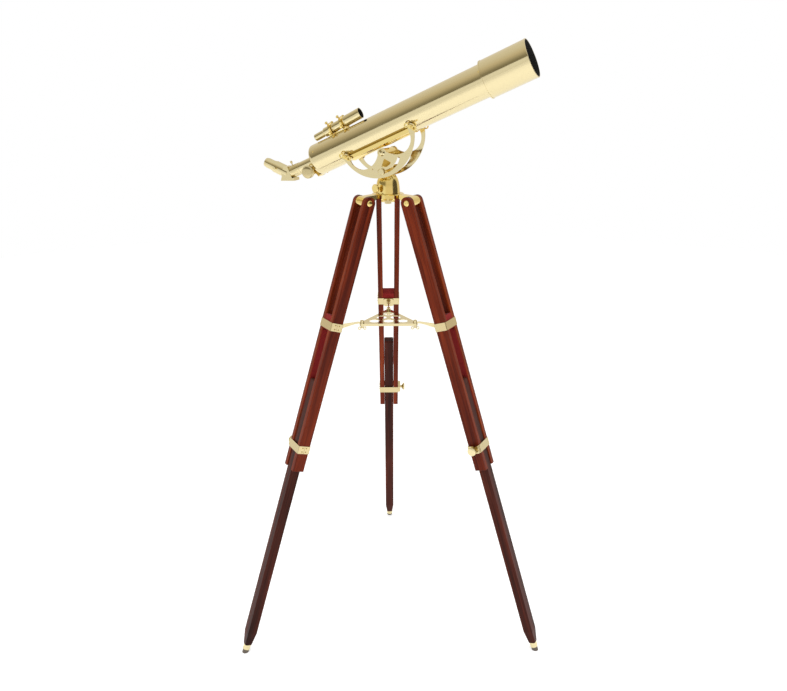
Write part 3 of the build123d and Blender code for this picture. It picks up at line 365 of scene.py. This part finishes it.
def make_knurl(name, place, radius, low, high, teeth, body, material):
    """A ring of fine ribs round a knob's rim."""

    def ribbed(angle):
        return 1 + RIB_HEIGHT / radius * math.cos(teeth * angle)

    profile = ((radius - 0.6, low), (radius - 0.1, low), (radius, low + 0.4),
               (radius, high - 0.4), (radius - 0.1, high), (radius - 0.6, high))
    bm = bmesh.new()
    add_lathe(bm, profile, place, segments=teeth * 6, wobble=ribbed)
    make_object(name, bm, material, body)


def make_focus_knob(label, side):
    """Ribs round one focusing knob's rim, and its face: a shallow step round a domed middle."""
    place = looking(joint_place("focus_knob_turn"), joint_axis("focus_knob_turn"))
    low, high = sorted(side * height for height in FOCUS_RIM)
    make_knurl(f"focus_knob_ribs_{label}", place, FOCUS_RIM_RADIUS, low, high, FOCUS_TEETH,
               "focus_wheel", BRASS_STRAP)
    bm = bmesh.new()
    profile = [(radius, side * height) for radius, height in FOCUS_FACE_PROFILE]
    add_lathe(bm, profile, place, segments=64)
    make_object(f"focus_knob_hub_{label}", bm, BRASS_STRAP, "focus_wheel")


def make_lining(name, place, inner, outer, low, high, body):
    """A black ring inside the open end of a tube."""
    bm = bmesh.new()
    profile = ((inner, low), (outer, low), (outer, high), (inner, high))
    add_lathe(bm, profile, place, segments=96)
    make_object(name, bm, BLACK, body)


def make_cell_screws(name, station, radius):
    """Three small round heads round one of the tube's cells."""
    profile = ((AXIS, -0.4), (radius, -0.4), (radius, 0.3), (radius * 0.8, 0.9), (AXIS, 1.2))
    bm = bmesh.new()
    for degrees in CELL_SCREW_ANGLES:
        angle = math.radians(degrees)
        out = ABOVE * math.sin(angle) - NEAR * math.cos(angle)
        place = looking(tube_point(station) + out * CELL_RADIUS * MM, out)
        add_lathe(bm, profile, place, segments=20)
    make_object(name, bm, BRASS_DEEP, "telescope")


def make_leg_details(number):
    make_band_nails(number, "clamp_turn", "clamp_band", CLAMP_BAND_FACE)
    make_band_nails(number, "brace_pin", "tray_band", TRAY_BAND_FACE)
    turn = f"leg_{number}_clamp_turn"
    make_knurl(f"leg_{number}_clamp_knurl", looking(joint_place(turn), joint_axis(turn)),
               CLAMP_RIM_RADIUS, *CLAMP_RIM, CLAMP_TEETH, f"leg_{number}_screw", BRASS)


def make_details():
    for number in LEGS:
        make_leg_details(number)
    make_focus_knob("far", side=1)
    make_focus_knob("near", side=-1)
    make_lining("dew_shield_lining", TUBE, inner=49.2, outer=49.55, low=346.8, high=437.2,
                body="dew_shield")
    make_lining("finder_lining", FINDER, inner=14.0, outer=14.36, low=-79, high=-61.6,
                body="telescope")
    make_cell_screws("rear_cell_screws", station=-231, radius=2.2)
    make_cell_screws("objective_cell_screws", station=304, radius=2.0)


# ---- studio ----
CAMERA_PLACE = (0, -2.174, 1.6955)
CAMERA_LENS = 33.66
CAMERA_PITCH = math.radians(-19.17)
CAMERA_YAW = math.radians(-0.39)
CAMERA_ROLL = math.radians(-0.18)
FLOOR_RADIUS = 7
FLOOR_GAP = 0.0005                   # keeps the floor off the feet

# The room as the brass mirrors it. Heights are 0 straight down, 0.5 level and 1 straight up.
PALE = (0.9, 0.9, 0.88)
FRONT_WALL = (
    (0.0, PALE),
    (0.565, (0.98, 0.98, 0.96)),     # the top of a bright low wall
    (0.58, (0.2, 0.175, 0.12)),      # the near edge of a dark ceiling
    (0.68, (0.33, 0.3, 0.22)),
    (0.84, (0.7, 0.63, 0.5)),
    (1.0, PALE),
)
BACK_WALL = ((0.0, PALE), (0.5, (0.82, 0.74, 0.62)), (1.0, PALE))
FLAG_DIRECTION = (0.97, -0.22, 0.05)


def make_camera():
    """Eye height 1.70 m, 2.17 m in front of the tripod's axis, looking 19 degrees down."""
    data = bpy.data.cameras.new("camera")
    data.sensor_width = 36
    data.lens = CAMERA_LENS
    camera = bpy.data.objects.new("camera", data)
    look = (Matrix.Rotation(CAMERA_YAW, 4, "Z")
            @ Matrix.Rotation(math.pi / 2 + CAMERA_PITCH, 4, "X")
            @ Matrix.Rotation(CAMERA_ROLL, 4, "Z"))
    camera.matrix_world = Matrix.Translation(CAMERA_PLACE) @ look
    bpy.context.scene.collection.objects.link(camera)
    bpy.context.scene.camera = camera


def area_light(name, place, target, size, power):
    """A soft light that the brass doesn't mirror."""
    data = bpy.data.lights.new(name, "AREA")
    data.shape = "RECTANGLE"
    data.size, data.size_y = size
    data.energy = power
    light = bpy.data.objects.new(name, data)
    light.visible_glossy = False
    light.matrix_world = looking(Vector(place), Vector(place) - Vector(target))
    bpy.context.scene.collection.objects.link(light)


def make_floor():
    """A white floor that glows just enough to be as white as the background."""
    bm = bmesh.new()
    bmesh.ops.create_circle(bm, cap_ends=True, radius=FLOOR_RADIUS, segments=96)
    mesh = bpy.data.meshes.new("floor")
    bm.to_mesh(mesh)
    bm.free()
    material, _, shader = new_material("floor_white", (0.9, 0.9, 0.9), 0.9)
    shader.inputs["Specular IOR Level"].default_value = 0.1
    shader.inputs["Emission Color"].default_value = (0.93, 1, 1.12, 1)
    shader.inputs["Emission Strength"].default_value = 0.36
    mesh.materials.append(material)
    floor = bpy.data.objects.new("floor", mesh)
    floor.location = (0, 0, -FLOOR_GAP)
    bpy.context.scene.collection.objects.link(floor)


def make_world():
    """A studio: plain white to the camera, and a room for the brass to mirror.

    At the front and left is a bright low wall, under a dark ceiling that starts at a sharp edge
    and grows paler upwards. It fades into a pale room behind and on the right. A round dark flag
    hangs at the right, which the pedestal mirrors as an upright streak.
    """
    world = bpy.data.worlds.new("studio")
    bpy.context.scene.world = world
    world.use_nodes = True
    tree = world.node_tree
    coordinates = tree.nodes.new("ShaderNodeTexCoord")
    direction = coordinates.outputs["Generated"]
    split = tree.nodes.new("ShaderNodeSeparateXYZ")
    tree.links.new(direction, split.inputs["Vector"])

    height = remap(tree, split.outputs["Z"], 0, 1, start=-1, end=1)
    front = color_ramp(tree, height, FRONT_WALL)
    back = color_ramp(tree, height, BACK_WALL)
    away = tree.nodes.new("ShaderNodeMath")
    away.operation = "MAXIMUM"
    behind = remap(tree, split.outputs["Y"], 0, 1, start=0, end=0.75)
    right = remap(tree, split.outputs["X"], 0, 0.85, start=-0.5, end=-0.25)
    tree.links.new(behind, away.inputs[0])
    tree.links.new(right, away.inputs[1])
    room = mix_colors(tree, away.outputs["Value"], front, back)

    flag = tree.nodes.new("ShaderNodeVectorMath")
    flag.operation = "DOT_PRODUCT"
    flag.inputs[1].default_value = Vector(FLAG_DIRECTION).normalized()
    tree.links.new(direction, flag.inputs[0])
    shade = remap(tree, flag.outputs["Value"], 1, 0.12, start=0.84, end=0.9)
    mirrored = mix_colors(tree, 1, room, shade, "MULTIPLY")

    path = tree.nodes.new("ShaderNodeLightPath")
    seen = mix_colors(tree, path.outputs["Is Camera Ray"], mirrored, (1, 1, 1, 1))
    background = tree.nodes["Background"]
    background.inputs["Strength"].default_value = 1.0
    tree.links.new(seen, background.inputs["Color"])


dress_all()
make_details()
make_camera()
make_floor()
make_world()
area_light("key", place=(-1.8, -2.4, 2.6), target=(0, 0, 0.9), size=(1.6, 1.6), power=30)
area_light("fill", place=(2.4, -1.6, 1.6), target=(0, 0, 0.8), size=(1.2, 2.0), power=20)
area_light("top", place=(0, 0.5, 3.6), target=(0, 0, 1.0), size=(2.4, 2.4), power=20)
bpy.context.scene.view_settings.view_transform = "Standard"
